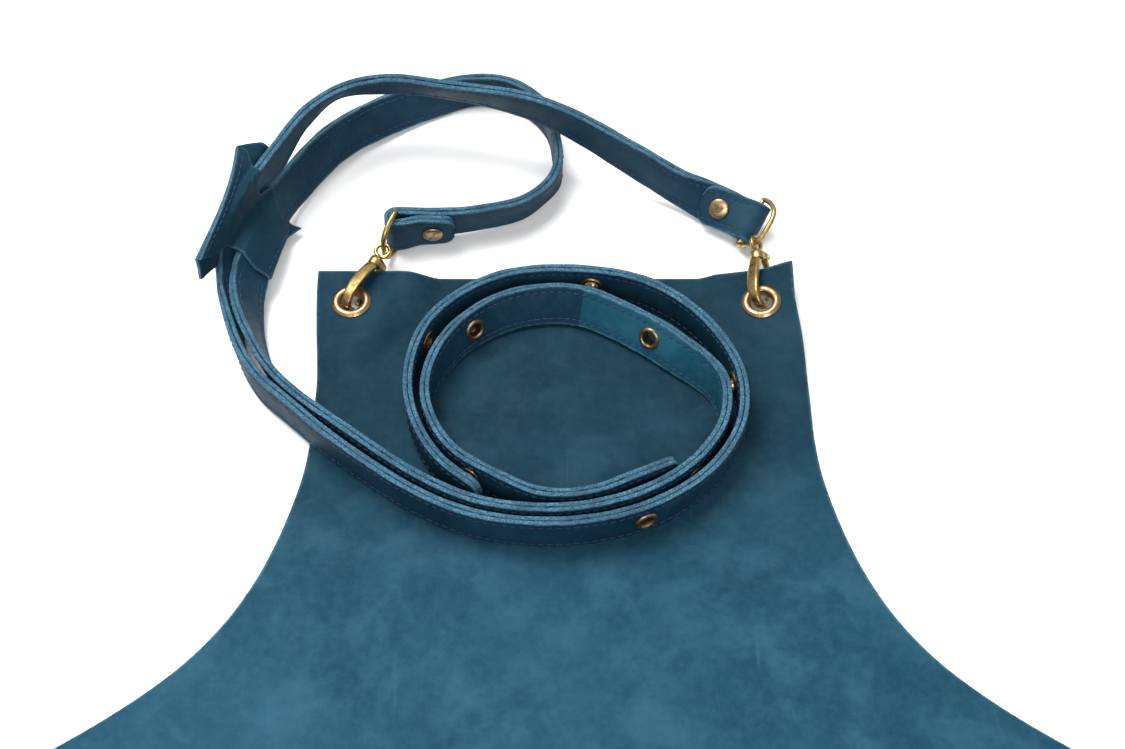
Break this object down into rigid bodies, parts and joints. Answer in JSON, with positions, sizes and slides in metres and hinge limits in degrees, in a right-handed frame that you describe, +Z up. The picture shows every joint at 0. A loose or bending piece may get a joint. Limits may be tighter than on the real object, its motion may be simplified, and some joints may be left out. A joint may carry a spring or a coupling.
{
  "type": "grill apron",
  "caption": "Long leather grill apron with a shaped bib, cross-back straps through a stitched yoke, and swivel hooks clipped into grommets, laid flat.",
  "frame": {"origin": "centre of the bounding box at table height", "axes": "+X to the right as the apron is seen from the hem, +Y from the hem toward the bib's top edge, +Z up from the table"},
  "size_m": [0.6, 0.9436, 0.0613],
  "materials": {
    "apron_leather": "matte pull-up leather",
    "strap_leather": "waxed leather with cut edges",
    "brass": "antique brass",
    "copper_brass": "antique copper brass"
  },
  "bodies": {
    "apron": {"apron_body": "apron_leather", "yoke_front": "apron_leather", "yoke_back": "apron_leather", "strap_right_face": "strap_leather", "strap_right_lining": "strap_leather", "strap_left_face": "strap_leather", "strap_left_lining": "strap_leather", "eyelet_right_1": "brass", "eyelet_right_2": "brass", "eyelet_right_3": "brass", "eyelet_right_4": "brass", "rivet_right": "brass", "bib_grommet_right": "copper_brass", "waist_grommet_right": "copper_brass", "d_ring_right": "brass", "hook_eye_right": "brass", "eyelet_left_1": "brass", "eyelet_left_2": "brass", "eyelet_left_3": "brass", "eyelet_left_4": "brass", "rivet_left": "brass", "bib_grommet_left": "copper_brass", "waist_grommet_left": "copper_brass", "d_ring_left": "brass", "hook_eye_left": "brass"},
    "claw_left": {"hook_claw_left": "brass"},
    "lever_left": {"hook_lever_left": "brass"},
    "claw_right": {"hook_claw_right": "brass"},
    "lever_right": {"hook_lever_right": "brass"}
  },
  "joints": [
    {"name": "swivel_left", "type": "hinge", "parent": "apron", "child": "claw_left", "pos_m": [-0.11202, 0.31455, 0.0074], "axis": [0.4465, 0.8739, 0.1924], "range_deg": [-4, 4]},
    {"name": "lever_left", "type": "hinge", "parent": "claw_left", "child": "lever_left", "pos_m": [-0.09731, 0.34162, 0.00779], "axis": [-0.8696, 0.4744, -0.1366], "range_deg": [0, 2.5], "stiffness_Nm_per_rad": 0.2, "springref_deg": -20.05},
    {"name": "swivel_right", "type": "hinge", "parent": "apron", "child": "claw_right", "pos_m": [0.10424, 0.31597, 0.0076], "axis": [-0.0231, 0.9867, 0.1612], "range_deg": [-4, 4]},
    {"name": "lever_right", "type": "hinge", "parent": "claw_right", "child": "lever_right", "pos_m": [0.10727, 0.34662, 0.00838], "axis": [-0.7455, 0.0905, -0.6604], "range_deg": [0, 2.5], "stiffness_Nm_per_rad": 0.2, "springref_deg": -20.05}
  ]
}
